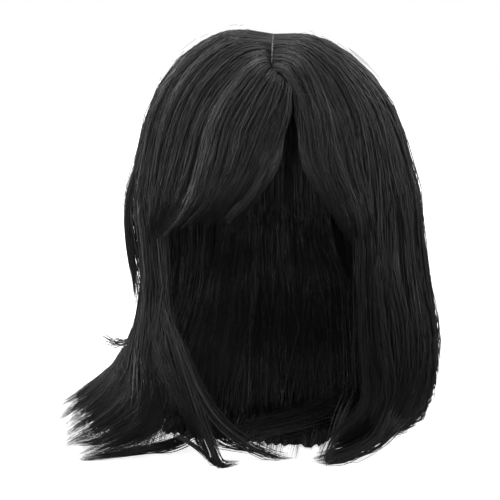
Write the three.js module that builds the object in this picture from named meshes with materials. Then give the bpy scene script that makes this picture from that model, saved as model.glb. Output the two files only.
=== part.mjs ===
// A straight black shoulder-length wig that stands on a table on its own hair.
// A fitted cap carries a pale parting strip and six sections of hair: two sides, the back, the two
// halves of a parted fringe and a lock that frames the face on the left. Each section is one closed
// sheet of locks, which lie side by side at the roots and part into tapered tips.
// Millimetres, +Z up, the face opening towards -Y, the table at z = 0.

import * as THREE from 'three';
import { mergeVertices } from 'three/addons/utils/BufferGeometryUtils.js';

const { clamp, degToRad, lerp, seededRandom } = THREE.MathUtils;

// Cap: a dome for a head about 550 mm round, with ear tabs and a deep nape
const CAP_HALF_WIDTH = 78.5;
const CAP_HALF_LENGTH = 98;
const CAP_EQUATOR = 205; // height of the widest level
const CAP_RISE = 90; // from the widest level to the crown
const CAP_WALL = 1.5;
const CAP_TUCK = 0.005; // how fast the wall draws in below the widest level, per mm
const CAP_SEGMENTS = 40;
const CAP_RINGS = 8;
// Height of the rim, by turn from the front in degrees
const CAP_RIM = [
  { turn: 0, z: 252 },
  { turn: 38, z: 247 },
  { turn: 66, z: 210 },
  { turn: 86, z: 184 },
  { turn: 108, z: 192 },
  { turn: 150, z: 168 },
  { turn: 180, z: 164 },
];

// Parting: a straight strip from the fringe seam back to the crown
const PART_FRONT = -58;
const PART_BACK = 40;
const PART_HALF_WIDTH = 1;
const PART_THICKNESS = 1.4;
const PART_LIFT = 0.55; // from the cap to the strip
const PART_STEPS = 16;

// Hair roots
const ROOT_HALF_GAP = 2; // between the middle of the parting and the first hair
const CROWN_RADIUS = 5; // the back section starts round this small circle
const ROOT_LIFT = 4.6; // outer face of the roots above the cap
const CROWN_ARC = degToRad(80); // the part of an ellipse that a strand follows over the crown
const CROWN_SHARES = [0.25, 0.5, 0.75]; // places on that way that a strand passes through
const CREST_FADE = 0.7; // share of the crest that is gone where the crown ends
const SEAT_GAP = 1.1; // from the cap to the corners of the hair's inner face
const SECTION_GAP = 0.4; // drawn in along each edge of a section
const LEAST_DEPTH = 1; // the hair stays this thick where it is seated on the cap
const DEPTH_STEP = 0.1; // step by which it is thinned there
const SWELL = 3; // how far the middle of a lock stands out from its edges
const ROOT_SWELL = 0.15; // share of that at the root
const TIP_SWELL = 0.3; // share of it left at the tip
const TAPER = 6; // a lock keeps its width below its split and narrows late
const EARLY_TAPER = 0.05; // share of the narrowing that starts at the split
const LOCK_JITTER = 0.5; // how unequal the locks are, in lock widths
const TURN_SPAN = 1.5; // length over which a sheet turns over with its strands, in strand points
const SIDE_STEP = 0.02; // half the step across a section that measures its direction

// Outer face of the hair below the crown: half-widths to each side of the head's axis
const LEVELS = [
  { z: 215, left: 95, right: 95.5, front: 102, back: 107 },
  { z: 185, left: 102.5, right: 104.5, front: 105, back: 110 },
  { z: 160, left: 104.5, right: 108, front: 105, back: 111 },
  { z: 130, left: 99.5, right: 110.5, front: 101, back: 111 },
  { z: 106, left: 93.5, right: 115, front: 96, back: 109 },
  { z: 76, left: 102, right: 118.5, front: 88, back: 104 },
];

// Guide strands, in order of turn. across: place in the section; root: on the cap; high and low:
// turn in degrees from the front, positive to the right, at the first and the last level; ease:
// how late the strand leaves its root sideways; sway: how far it swings right and then left on its
// way over the crown; crest: how far it stands up there; bend and tip: its turn near the end and
// its end.
const LEFT_REAR = {
  rootX: -CROWN_RADIUS, rootY: PART_BACK, high: -150, low: -146, ease: 1, sway: 0, crest: 5,
  bendX: -78, bendY: 80, bendZ: 26, tipX: -110, tipY: 62, tipZ: 4,
};
const LEFT_FRONT = {
  rootX: -ROOT_HALF_GAP, rootY: -36, high: -62, low: -57, ease: 1, sway: 0, crest: 5,
  bendX: -72, bendY: -58, bendZ: 20, tipX: -136, tipY: -64, tipZ: 0,
};
const FACE_LEFT = {
  rootX: -ROOT_HALF_GAP, rootY: -44, high: -53, low: -44, ease: 1, sway: 0, crest: 5,
  bendX: -52, bendY: -64, bendZ: 50, tipX: -35, tipY: -65, tipZ: 0,
};
const FACE_RIGHT = {
  rootX: ROOT_HALF_GAP, rootY: -44, high: 38, low: 36, ease: 1, sway: 0, crest: -2,
  bendX: 76, bendY: -62, bendZ: 40, tipX: 38, tipY: -71, tipZ: 0,
};
const RIGHT_REAR = {
  rootX: CROWN_RADIUS, rootY: PART_BACK, high: 150, low: 148, ease: 1, sway: 0, crest: 3,
  bendX: 63, bendY: 79, bendZ: 7, tipX: 34, tipY: -4, tipZ: 0,
};

const SIDE_FORM = {
  levels: LEVELS,
  // from root to tip: one value for each point that a strand passes through
  thickness: [3, 7, 11, 14, 16, 14, 11, 9, 8, 7, 5, 2.4],
  rows: [0, 0.5, 1, 1.5, 2, 2.5, 3, 3.5, 4, 5, 6, 7, 8, 9, 9.4, 9.7, 10, 10.3, 10.65, 11],
  splitFrom: 7,
  splitTo: 9,
  turnsFrom: 8,
};
const FRINGE_FORM = {
  levels: LEVELS.slice(0, 1),
  thickness: [3, 6, 8, 9, 9, 7, 2.4],
  rows: [0, 0.5, 1, 1.5, 2, 2.5, 3, 3.5, 4, 4.5, 5, 5.5, 6],
  splitFrom: 3.5,
  splitTo: 5,
  turnsFrom: 6,
};

const SECTIONS = [
  {
    name: 'hair_left', form: SIDE_FORM, locks: 12,
    guides: [
      { across: 0, ...LEFT_REAR },
      {
        across: 0.3, rootX: -ROOT_HALF_GAP, rootY: 20, high: -115, low: -112, ease: 1, sway: 0, crest: 6,
        bendX: -114, bendY: 31, bendZ: 45, tipX: -156, tipY: 12, tipZ: 19,
      },
      {
        across: 0.55, rootX: -ROOT_HALF_GAP, rootY: 0, high: -92, low: -90, ease: 1, sway: 0, crest: 6,
        bendX: -117, bendY: -10, bendZ: 43, tipX: -159, tipY: -14, tipZ: 8,
      },
      {
        across: 0.8, rootX: -ROOT_HALF_GAP, rootY: -20, high: -73, low: -71, ease: 1, sway: 0, crest: 5.5,
        bendX: -98, bendY: -42, bendZ: 27, tipX: -153, tipY: -46, tipZ: 1,
      },
      { across: 1, ...LEFT_FRONT },
    ],
  },
  {
    name: 'fringe_left', form: FRINGE_FORM, locks: 8,
    guides: [
      {
        across: 0, ...FACE_LEFT,
        bendX: -81, bendY: -69, bendZ: 186, tipX: -83, tipY: -66, tipZ: 162,
      },
      {
        across: 0.3, rootX: -2.4, rootY: -53, high: -38, ease: 1.3, sway: 0, crest: 4,
        bendX: -67, bendY: -87, bendZ: 188, tipX: -73, tipY: -83, tipZ: 164,
      },
      {
        across: 0.6, rootX: -0.5, rootY: -62, high: -21, ease: 1.8, sway: 0, crest: 2,
        bendX: -46, bendY: -101, bendZ: 191, tipX: -56, tipY: -96, tipZ: 168,
      },
      {
        across: 1, rootX: 12.4, rootY: -74, high: 0.5, ease: 4, sway: 0, crest: 1,
        bendX: -17, bendY: -107, bendZ: 192, tipX: -29, tipY: -105, tipZ: 168,
      },
    ],
  },
  {
    name: 'fringe_right', form: FRINGE_FORM, locks: 6,
    guides: [
      {
        across: 0, rootX: 3.6, rootY: -62, high: 13, ease: 1, sway: 4.5, crest: 1,
        bendX: 41, bendY: -99, bendZ: 186, tipX: 63, tipY: -86, tipZ: 155,
      },
      {
        across: 0.5, rootX: 2.4, rootY: -53, high: 26, ease: 1, sway: 2, crest: 1,
        bendX: 54, bendY: -92, bendZ: 186, tipX: 66, tipY: -83, tipZ: 152,
      },
      {
        across: 1, ...FACE_RIGHT,
        bendX: 63.6, bendY: -83.3, bendZ: 185, tipX: 63.2, tipY: -85, tipZ: 152,
      },
    ],
  },
  {
    name: 'hair_right', form: SIDE_FORM, locks: 12,
    guides: [
      { across: 0, ...FACE_RIGHT },
      {
        across: 0.28, rootX: ROOT_HALF_GAP, rootY: -20, high: 68, low: 74, ease: 1, sway: 0, crest: -2.5,
        bendX: 105, bendY: -28, bendZ: 24, tipX: 40, tipY: -52, tipZ: 0,
      },
      {
        across: 0.52, rootX: ROOT_HALF_GAP, rootY: 0, high: 92, low: 94, ease: 1, sway: 0, crest: -2.5,
        bendX: 104, bendY: 2, bendZ: 16, tipX: 44, tipY: -36, tipZ: 0,
      },
      {
        across: 0.76, rootX: ROOT_HALF_GAP, rootY: 22, high: 120, low: 120, ease: 1, sway: 0, crest: 0,
        bendX: 94, bendY: 45, bendZ: 10, tipX: 40, tipY: -20, tipZ: 0,
      },
      { across: 1, ...RIGHT_REAR },
    ],
  },
  {
    name: 'hair_back', form: SIDE_FORM, locks: 12,
    guides: [
      { across: 0, ...RIGHT_REAR, bendX: 60.5, tipX: 28, tipY: -8 },
      {
        across: 0.5, rootX: 0, rootY: PART_BACK + CROWN_RADIUS,
        high: 180, low: 180, ease: 1, sway: 0, crest: 4,
        bendX: -8, bendY: 84, bendZ: 6, tipX: -16, tipY: -36, tipZ: 0,
      },
      {
        across: 1, ...LEFT_REAR, high: 210, low: 214,
        bendX: -72, bendY: 80, bendZ: 16, tipX: -84, tipY: 10, tipZ: 0,
      },
    ],
  },
  {
    name: 'front_lock', form: SIDE_FORM, locks: 2,
    guides: [
      {
        across: 0, ...LEFT_FRONT,
        bendX: -67, bendY: -63, bendZ: 44, tipX: -50, tipY: -65, tipZ: 1,
      },
      { across: 1, ...FACE_LEFT },
    ],
  },
];

const HAIR = { color: 0x141416, roughness: 0.42, metalness: 0 };
const CAP_NET = { color: 0x1b1b1d, roughness: 0.85, metalness: 0 };
const STRIP = { color: 0xe9dfd4, roughness: 0.7, metalness: 0 };

// A closed skin collected triangle by triangle
class Skin {
  corners = [];

  triangle(a, b, c) {
    if (a.equals(b) || b.equals(c) || c.equals(a)) return;
    for (const p of [a, b, c]) this.corners.push(p.x, p.y, p.z);
  }

  quad(a, b, c, d) {
    this.triangle(a, b, c);
    this.triangle(a, c, d);
  }

  geometry() {
    const loose = new THREE.BufferGeometry();
    loose.setAttribute('position', new THREE.Float32BufferAttribute(this.corners, 3));
    const welded = mergeVertices(loose, 1e-3);
    welded.computeVertexNormals();
    return welded;
  }
}

// Value of a table column at a place between its rows, on a smooth curve through them
function tableValue(rows, key, column, at) {
  const last = rows.length - 1;
  let i = 0;
  while (i < last - 1 && at > rows[i + 1][key]) i += 1;
  const slope = (k) => {
    const a = rows[Math.max(k - 1, 0)];
    const b = rows[Math.min(k + 1, last)];
    return (b[column] - a[column]) / (b[key] - a[key]);
  };
  const step = rows[i + 1][key] - rows[i][key];
  const s = clamp((at - rows[i][key]) / step, 0, 1);
  const rise = rows[i + 1][column] - rows[i][column];
  const start = slope(i) * step;
  const end = slope(i + 1) * step;
  const square = 3 * rise - 2 * start - end;
  const cube = start + end - 2 * rise;
  return rows[i][column] + s * (start + s * (square + s * cube));
}

// Height of the cap's outer face above a point of its plan
function capHeight(x, y) {
  const inside = 1 - (x / CAP_HALF_WIDTH) ** 2 - (y / CAP_HALF_LENGTH) ** 2;
  return CAP_EQUATOR + CAP_RISE * Math.sqrt(Math.max(inside, 0));
}

// Point of the cap at a turn from the front and an angle down from the crown
function capPoint(turn, angle, inset) {
  const below = Math.max(angle - Math.PI / 2, 0) * CAP_RISE;
  const out = angle < Math.PI / 2 ? Math.sin(angle) : 1 - (CAP_TUCK * below) ** 2;
  const up = (CAP_RISE - inset) * Math.cos(Math.min(angle, Math.PI / 2));
  return new THREE.Vector3(
    (CAP_HALF_WIDTH - inset) * out * Math.sin(turn),
    -(CAP_HALF_LENGTH - inset) * out * Math.cos(turn),
    CAP_EQUATOR + up - below,
  );
}

function capGeometry() {
  const skin = new Skin();
  const grid = (inset) =>
    Array.from({ length: CAP_SEGMENTS + 1 }, (_, i) => {
      const turn = ((i % CAP_SEGMENTS) / CAP_SEGMENTS) * 2 * Math.PI;
      const fromFront = THREE.MathUtils.radToDeg(Math.min(turn, 2 * Math.PI - turn));
      const rise = (tableValue(CAP_RIM, 'turn', 'z', fromFront) - CAP_EQUATOR) / CAP_RISE;
      const rimAngle = rise > 0 ? Math.acos(rise) : Math.PI / 2 - rise;
      const step = rimAngle / CAP_RINGS;
      return Array.from({ length: CAP_RINGS + 1 }, (_, k) => capPoint(turn, step * k, inset));
    });
  const outer = grid(0);
  const inner = grid(CAP_WALL);
  for (let i = 0; i < CAP_SEGMENTS; i += 1) {
    for (let k = 0; k < CAP_RINGS; k += 1) {
      skin.quad(outer[i][k], outer[i][k + 1], outer[i + 1][k + 1], outer[i + 1][k]);
      skin.quad(inner[i][k], inner[i + 1][k], inner[i + 1][k + 1], inner[i][k + 1]);
    }
    const rim = CAP_RINGS;
    skin.quad(outer[i][rim], inner[i][rim], inner[i + 1][rim], outer[i + 1][rim]);
  }
  return skin.geometry();
}

// The parting strip: a thin bar bent over the middle of the cap
function partingGeometry() {
  const skin = new Skin();
  const sections = Array.from({ length: PART_STEPS + 1 }, (_, i) => {
    const y = lerp(PART_FRONT, PART_BACK, i / PART_STEPS);
    const low = capHeight(0, y) + PART_LIFT;
    const high = low + PART_THICKNESS;
    const w = PART_HALF_WIDTH;
    return [[-w, high], [w, high], [w, low], [-w, low]].map(([x, z]) => new THREE.Vector3(x, y, z));
  });
  for (let i = 0; i < PART_STEPS; i += 1) {
    const [a, b] = [sections[i], sections[i + 1]];
    for (let k = 0; k < 4; k += 1) skin.quad(a[k], a[(k + 1) % 4], b[(k + 1) % 4], b[k]);
  }
  skin.quad(...[...sections[0]].reverse());
  skin.quad(...sections[PART_STEPS]);
  return skin.geometry();
}

// Direction straight out of the crown's dome
function domeNormal(p) {
  const up = Math.max(p.z - CAP_EQUATOR, 0) / CAP_RISE ** 2;
  return new THREE.Vector3(p.x / CAP_HALF_WIDTH ** 2, p.y / CAP_HALF_LENGTH ** 2, up).normalize();
}

// Point of the hair's outer face at one level and turn
function levelPoint(level, degrees) {
  const turn = degToRad(degrees);
  const x = Math.sin(turn);
  const y = -Math.cos(turn);
  const halfWidth = x < 0 ? level.left : level.right;
  const halfLength = y < 0 ? level.front : level.back;
  return new THREE.Vector3(x * halfWidth, y * halfLength, level.z);
}

// Point of a strand on its way over the crown, from its root to the first level
function crownPoint(root, top, share, { ease, sway, crest }) {
  const angle = share * CROWN_ARC;
  const out = Math.sin(angle) / Math.sin(CROWN_ARC);
  const drop = (1 - Math.cos(angle)) / (1 - Math.cos(CROWN_ARC));
  const p = new THREE.Vector3(
    lerp(root.x, top.x, out ** ease) + sway * Math.sin(2 * Math.PI * out),
    lerp(root.y, top.y, out),
    lerp(root.z, top.z, drop),
  );
  const bulge = crest * Math.sin(Math.PI * share) * (1 - CREST_FADE * share);
  return p.addScaledVector(domeNormal(p), bulge);
}

// The curve of one strand of a section, through root, crown, levels, bend and tip
const strands = new Map();
function strandCurve(section, across) {
  const key = `${section.name} ${across.toFixed(6)}`;
  if (strands.has(key)) return strands.get(key);
  const value = (column) => tableValue(section.guides, 'across', column, across);
  const { levels } = section.form;
  const rootX = value('rootX');
  const rootY = value('rootY');
  const root = new THREE.Vector3(rootX, rootY, capHeight(rootX, rootY) + ROOT_LIFT);
  const high = value('high');
  const top = levelPoint(levels[0], high);
  const points = [root];
  const habit = { ease: value('ease'), sway: value('sway'), crest: value('crest') };
  for (const share of CROWN_SHARES) points.push(crownPoint(root, top, share, habit));
  points.push(top);
  const fall = levels[0].z - levels[levels.length - 1].z;
  for (const level of levels.slice(1)) {
    const drift = ((levels[0].z - level.z) / fall) ** 2;
    points.push(levelPoint(level, lerp(high, value('low'), drift)));
  }
  for (const end of ['bend', 'tip']) {
    points.push(new THREE.Vector3(value(`${end}X`), value(`${end}Y`), value(`${end}Z`)));
  }
  const curve = new THREE.CatmullRomCurve3(points, false, 'centripetal');
  strands.set(key, curve);
  return curve;
}

// Lays a point that would sink into the table on it
function onTable(p) {
  p.z = Math.max(p.z, 0);
  return p;
}

// Outer face of a section, and the direction out of it, at a place across it and along its strands
function facePoint(section, across, along) {
  const last = section.form.thickness.length - 1;
  const at = (a) => strandCurve(section, clamp(a, 0, 1)).getPoint(along / last);
  const sideways = at(across + SIDE_STEP).sub(at(across - SIDE_STEP));
  const downwards = strandCurve(section, across).getTangent(along / last);
  const point = onTable(at(across));
  const radial = domeNormal(point);
  radial.addScaledVector(downwards, -radial.dot(downwards)).normalize();
  // near the table the sheet turns over with its strands
  const turned = clamp((along - section.form.turnsFrom) / TURN_SPAN, 0, 1);
  const normal = radial.lerp(downwards.clone().cross(sideways).normalize(), turned).normalize();
  return { point, normal, sideways: sideways.normalize() };
}

// Whether a point is clear of the cap and the gap that the hair keeps to it
function clearOfCap(p) {
  const up = Math.max(p.z - CAP_EQUATOR, 0) / (CAP_RISE + SEAT_GAP);
  return Math.hypot(p.x / (CAP_HALF_WIDTH + SEAT_GAP), p.y / (CAP_HALF_LENGTH + SEAT_GAP), up) > 1;
}

// Inner face of a section below a point of its outer face, no deeper than the cap
function innerPoint(form, { point, normal }, along) {
  const i = Math.min(Math.floor(along), form.thickness.length - 2);
  let depth = lerp(form.thickness[i], form.thickness[i + 1], along - i);
  const inner = () => point.clone().addScaledVector(normal, -depth);
  while (depth > LEAST_DEPTH && !clearOfCap(inner())) depth -= DEPTH_STEP;
  return inner();
}

// One section of hair as a closed sheet of locks
function sectionGeometry(section, seed) {
  const { form, locks } = section;
  const { rows } = form;
  const end = rows[rows.length - 1];
  const outerSteps = [0, 1 / 3, 2 / 3, 1];
  const innerSteps = [1, 0];
  const random = (index) => seededRandom(seed * 1000 + index);
  const edges = Array.from({ length: locks + 1 }, (_, i) => {
    const shift = i === 0 || i === locks ? 0 : (random(i) - 0.5) * LOCK_JITTER;
    return (i + shift) / locks;
  });
  // the row below which each edge between two locks opens
  const splitRows = rows.filter((along) => along >= form.splitFrom && along <= form.splitTo);
  const splits = edges.map((_, i) => splitRows[Math.floor(random(100 + i) * splitRows.length)]);
  const edgeOf = (lock, side, along) => {
    const middle = (edges[lock] + edges[lock + 1]) / 2;
    const edge = edges[lock + side];
    const opened = clamp((along - splits[lock + side]) / (end - splits[lock + side]), 0, 1);
    return lerp(edge, middle, lerp(opened ** TAPER, opened, EARLY_TAPER));
  };
  const isSplit = (edge, along) => edge === 0 || edge === locks || along > splits[edge];

  const ringOf = (lock, along) => {
    const first = edgeOf(lock, 0, along);
    const second = edgeOf(lock, 1, along);
    const swell = SWELL * clamp(along, ROOT_SWELL, 1) * clamp(end - along, TIP_SWELL, 1);
    const at = (share, inner) => {
      const across = lerp(first, second, share);
      const face = facePoint(section, across, along);
      const { normal, sideways } = face;
      const crown = swell * (1 - (2 * share - 1) ** 2);
      const point = inner ? innerPoint(form, face, along) : face.point.addScaledVector(normal, crown);
      if (lock === 0 && share === 0) point.addScaledVector(sideways, SECTION_GAP);
      if (lock === locks - 1 && share === 1) point.addScaledVector(sideways, -SECTION_GAP);
      return onTable(point);
    };
    return [...outerSteps.map((s) => at(s, false)), ...innerSteps.map((s) => at(s, true))];
  };

  const skin = new Skin();
  const rightWall = outerSteps.length - 1;
  for (let lock = 0; lock < locks; lock += 1) {
    const rings = rows.slice(0, -1).map((along) => ringOf(lock, along));
    const count = rings[0].length;
    for (let i = 1; i < count - 1; i += 1) skin.triangle(rings[0][0], rings[0][i], rings[0][i + 1]);
    for (let r = 0; r + 1 < rings.length; r += 1) {
      for (let i = 0; i < count; i += 1) {
        const next = (i + 1) % count;
        if (i === rightWall && !isSplit(lock + 1, rows[r + 1])) continue;
        if (i === count - 1 && !isSplit(lock, rows[r + 1])) continue;
        skin.quad(rings[r][i], rings[r + 1][i], rings[r + 1][next], rings[r][next]);
      }
    }
    const { point: tip } = facePoint(section, edgeOf(lock, 0, end), end);
    const lastRing = rings[rings.length - 1];
    for (let i = 0; i < count; i += 1) skin.triangle(lastRing[i], tip, lastRing[(i + 1) % count]);
  }
  return skin.geometry();
}

function piece(name, geometry, look) {
  const mesh = new THREE.Mesh(geometry, new THREE.MeshStandardMaterial(look));
  mesh.name = name;
  return mesh;
}

const wig = new THREE.Group();
wig.add(piece('cap', capGeometry(), CAP_NET));
wig.add(piece('parting_strip', partingGeometry(), STRIP));
SECTIONS.forEach((section, i) => wig.add(piece(section.name, sectionGeometry(section, i + 1), HAIR)));

// The origin is under the middle of the whole wig, on the table
const bounds = new THREE.Box3().setFromObject(wig);
const middle = bounds.getCenter(new THREE.Vector3());
wig.position.set(-middle.x, -middle.y, -bounds.min.z);

export default wig;
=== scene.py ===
import math

import bpy
import numpy as np
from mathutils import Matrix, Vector


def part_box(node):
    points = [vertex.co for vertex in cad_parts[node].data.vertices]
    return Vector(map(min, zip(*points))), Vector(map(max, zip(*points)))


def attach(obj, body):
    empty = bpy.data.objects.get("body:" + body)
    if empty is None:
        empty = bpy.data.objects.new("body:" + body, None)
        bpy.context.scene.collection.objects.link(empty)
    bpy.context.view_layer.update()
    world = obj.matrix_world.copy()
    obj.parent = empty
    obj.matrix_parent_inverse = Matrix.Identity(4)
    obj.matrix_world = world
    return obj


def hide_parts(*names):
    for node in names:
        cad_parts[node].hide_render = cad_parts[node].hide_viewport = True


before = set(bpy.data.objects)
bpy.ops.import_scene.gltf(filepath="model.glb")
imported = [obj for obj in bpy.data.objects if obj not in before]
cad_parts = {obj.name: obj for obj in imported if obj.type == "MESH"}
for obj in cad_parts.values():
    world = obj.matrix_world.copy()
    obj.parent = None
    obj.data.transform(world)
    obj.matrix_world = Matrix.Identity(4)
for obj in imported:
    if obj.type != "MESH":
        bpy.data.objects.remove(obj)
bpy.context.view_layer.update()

mm = 0.001

# Sizes below are in mm in the head's frame: x to the right of the viewer, y to the back of the head,
# z up from the table. headSpot carries that frame to the part's own, in metres.
rng = np.random.default_rng(41)

capSize = {
    "halfWidth": 78.5, "halfLength": 98, "equator": 205, "rise": 90, "wall": 1.5, "tuck": 0.005,
    "rim": [(0, 252), (38, 247), (66, 210), (86, 184), (108, 192), (150, 168), (180, 164)],  # turn, height
}
strip = {"front": -58, "back": 40, "thickness": 1.4, "lift": 0.55}
capLow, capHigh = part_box("cap")
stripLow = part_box("parting_strip")[0]
headSpot = np.array([(capLow.x + capHigh.x) / 2, stripLow.y - strip["front"] * mm,
                     capHigh.z - (capSize["equator"] + capSize["rise"]) * mm])
# How the hair leaves the cap: lift and arc at the crown, swell of a lock, room above the cap, lean of the
# parting, and the small steps that give the face its directions
hairFall = {
    "rootLift": 4.6, "crownArc": math.radians(80), "crownShares": (0.25, 0.5, 0.75), "crestFade": 0.7,
    "swell": 3, "clearance": 1.3, "capFrom": 175, "deepest": 0.2, "partLean": 0.03, "leanFrom": -10,
    "alongStep": 0.03, "acrossStep": 0.02, "turnLength": 1.5, "lockShift": 0.5,
}

# Outer face of the hair by height: z, and half-widths to the left, right, front and back
levels = [
    (215, 95.5, 96, 102, 107), (185, 100, 105, 105, 110), (160, 96.5, 107.5, 105, 111),
    (130, 93.5, 110, 101, 111), (106, 94, 115, 96, 109), (76, 102, 118.5, 88, 104),
]
# Guide strands: place across the section, root x y, turn high and low, ease, sway, crest, bend x y z and
# tip x y z. A form has the levels that they pass and a thickness for each of their points.
column = {name: i for i, name in enumerate(
    "across rootX rootY high low ease sway crest bendX bendY bendZ tipX tipY tipZ".split())}
sideForm = {
    "levels": levels, "thickness": [3, 7, 11, 14, 16, 14, 11, 9, 8, 7, 5, 2.4], "turnsFrom": 8,
}
backForm = {
    "levels": levels + [(8, 130, 116, 84, 98)],
    "thickness": [3, 7, 11, 14, 16, 14, 11, 9, 8, 7, 6, 4.5, 2.4], "turnsFrom": 9,
}
fringeForm = {
    "levels": levels[:1], "thickness": [3, 6, 8, 9, 9, 7, 2.4], "turnsFrom": 6,
}
sections = {
    "hair_left": {"form": sideForm, "locks": 12, "seed": 1, "guides": [
        (0, -5, 40, -150, -146, 1, 0, 5, -78, 80, 26, -110, 62, 4),
        (0.3, -2, 30, -115, -112, 1, 0, 6, -117, 31, 47, -160, 12, 22),
        (0.55, -2, 14, -92, -90, 1, 0, 6, -118, -10, 44, -163, -14, 9),
        (0.8, -2, -4, -73, -71, 1, 0, 5.5, -98, -42, 27, -156, -46, 1),
        (1, -2, -20, -62, -57, 1, 0, 5, -72, -58, 20, -136, -64, 0),
    ]},
    "fringe_left": {"form": fringeForm, "locks": 8, "seed": 2, "guides": [
        (0, -2, -30, -53, -53, 1, 0, 5, -83, -64, 182, -95, -40, 142),
        (0.3, -2.4, -47, -38, -38, 1.3, 0, 4, -69, -85, 187, -90, -58, 154),
        (0.6, -0.5, -62, -21, -21, 1.8, 0, 1.5, -47, -101, 191, -70, -88, 169),
        (1, 12.4, -74, 0.5, 0.5, 5, 0, 0, -17, -107, 192, -35, -104, 168),
    ]},
    "fringe_right": {"form": fringeForm, "locks": 6, "seed": 3, "guides": [
        (0, 0, -63.5, 13, 13, 1, 1, 1, 41, -99, 186, 63, -86, 155),
        (0.5, 2, -47, 26, 26, 1, 1, 1, 54, -92, 186, 66, -83, 152),
        (1, 2, -30, 38, 36, 1, 0, -2, 65, -82.5, 185, 72, -79, 150),
    ]},
    "hair_right": {"form": sideForm, "locks": 12, "seed": 4, "guides": [
        (0, 2, -30, 38, 36, 1, 0, -2, 76, -62, 40, 36, -61, 0),
        (0.28, 2, -5, 68, 74, 1, 0, -2.5, 105, -28, 24, 36, -45, 0),
        (0.52, 2, 13, 92, 94, 1, 0, -2.5, 104, 2, 16, 44, -36, 0),
        (0.76, 2, 29, 120, 120, 1, 0, 0, 94, 45, 10, 40, -20, 0),
        (1, 5, 40, 150, 148, 1, 0, 3, 63, 79, 7, 34, -4, 0),
    ]},
    "hair_back": {"form": backForm, "locks": 12, "seed": 5, "guides": [
        (0, 5, 40, 145, 141, 1, 0, 3, 72, 75, 1.5, 44, 0, 0),
        (0.27, 3, 43, 163, 160, 1, 0, 3.5, 40, 91, 1.5, 22, -84, 0),
        (0.5, 0, 45, 180, 180, 1, 0, 4, -2, 97, 1.5, -14, -66, 0),
        (1, -5, 40, 214, 219, 1, 0, 5, -81, 75, 1.5, -84, -10, 0),
    ]},
    "front_lock": {"form": sideForm, "locks": 2, "seed": 6, "guides": [
        (0, -2, -20, -62, -57, 1, 0, 5, -67, -63, 44, -47, -65, 1),
        (1, -2, -30, -56, -53, 1, 0, 5, -58, -64, 50, -40, -65, 0),
    ]},
}


def mix(a, b, share):
    return a + (b - a) * share


def smooth(low, high, at):
    s = np.clip((at - low) / (high - low), 0, 1)
    return s * s * (3 - 2 * s)


def unit(v):
    return v / np.maximum(np.linalg.norm(v, axis=-1, keepdims=True), 1e-9)


def tableValue(keys, values, at):
    # smooth curve through the rows of a table
    keys, values = np.asarray(keys, float), np.asarray(values, float)
    last = len(keys) - 1
    row = np.arange(last + 1)
    before, after = np.maximum(row - 1, 0), np.minimum(row + 1, last)
    slope = (values[after] - values[before]) / (keys[after] - keys[before])
    i = np.clip(np.searchsorted(keys, at) - 1, 0, last - 1)
    step = keys[i + 1] - keys[i]
    s = np.clip((at - keys[i]) / step, 0, 1)
    rise = values[i + 1] - values[i]
    start, end = slope[i] * step, slope[i + 1] * step
    return values[i] + s * (start + s * (3 * rise - 2 * start - end + s * (start + end - 2 * rise)))


def capHeight(x, y):
    inside = 1 - (x / capSize["halfWidth"]) ** 2 - (y / capSize["halfLength"]) ** 2
    return capSize["equator"] + capSize["rise"] * np.sqrt(np.maximum(inside, 0))


def domeNormal(p):
    up = np.maximum(p[..., 2] - capSize["equator"], 0) / capSize["rise"] ** 2
    flat = p[..., :2] / np.array([capSize["halfWidth"], capSize["halfLength"]]) ** 2
    return unit(np.concatenate([flat, up[..., None]], -1))


def levelPoint(level, degrees):
    z, left, right, front, back = level
    turn = np.radians(degrees)
    x, y = np.sin(turn), -np.cos(turn)
    return np.stack([x * np.where(x < 0, left, right), y * np.where(y < 0, front, back),
                     np.full_like(x, z)], -1)


def strandPoints(section, across):
    # the points that the strands at these places across a section pass through, from root to tip
    table = np.array(section["guides"], float)
    value = {name: tableValue(table[:, 0], table[:, i], across) for name, i in column.items()}
    form = section["form"]
    root = np.stack([value["rootX"], value["rootY"],
                     capHeight(value["rootX"], value["rootY"]) + hairFall["rootLift"]], -1)
    top = levelPoint(form["levels"][0], value["high"])
    points = [root]
    arc = hairFall["crownArc"]
    for share in hairFall["crownShares"]:
        out = math.sin(share * arc) / math.sin(arc)
        drop = (1 - math.cos(share * arc)) / (1 - math.cos(arc))
        x = mix(root[:, 0], top[:, 0], out ** value["ease"]) + value["sway"] * math.sin(2 * math.pi * out)
        p = np.stack([x, mix(root[:, 1], top[:, 1], out), mix(root[:, 2], top[:, 2], drop)], -1)
        bulge = value["crest"] * math.sin(math.pi * share) * (1 - hairFall["crestFade"] * share)
        points.append(p + domeNormal(p) * bulge[:, None])
    points.append(top)
    firstZ, lastZ = form["levels"][0][0], form["levels"][-1][0]
    for level in form["levels"][1:]:
        drift = ((firstZ - level[0]) / (firstZ - lastZ)) ** 2
        points.append(levelPoint(level, mix(value["high"], value["low"], drift)))
    for end in ("bend", "tip"):
        points.append(np.stack([value[end + axis] for axis in "XYZ"], -1))
    return np.stack(points, 1)


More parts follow.
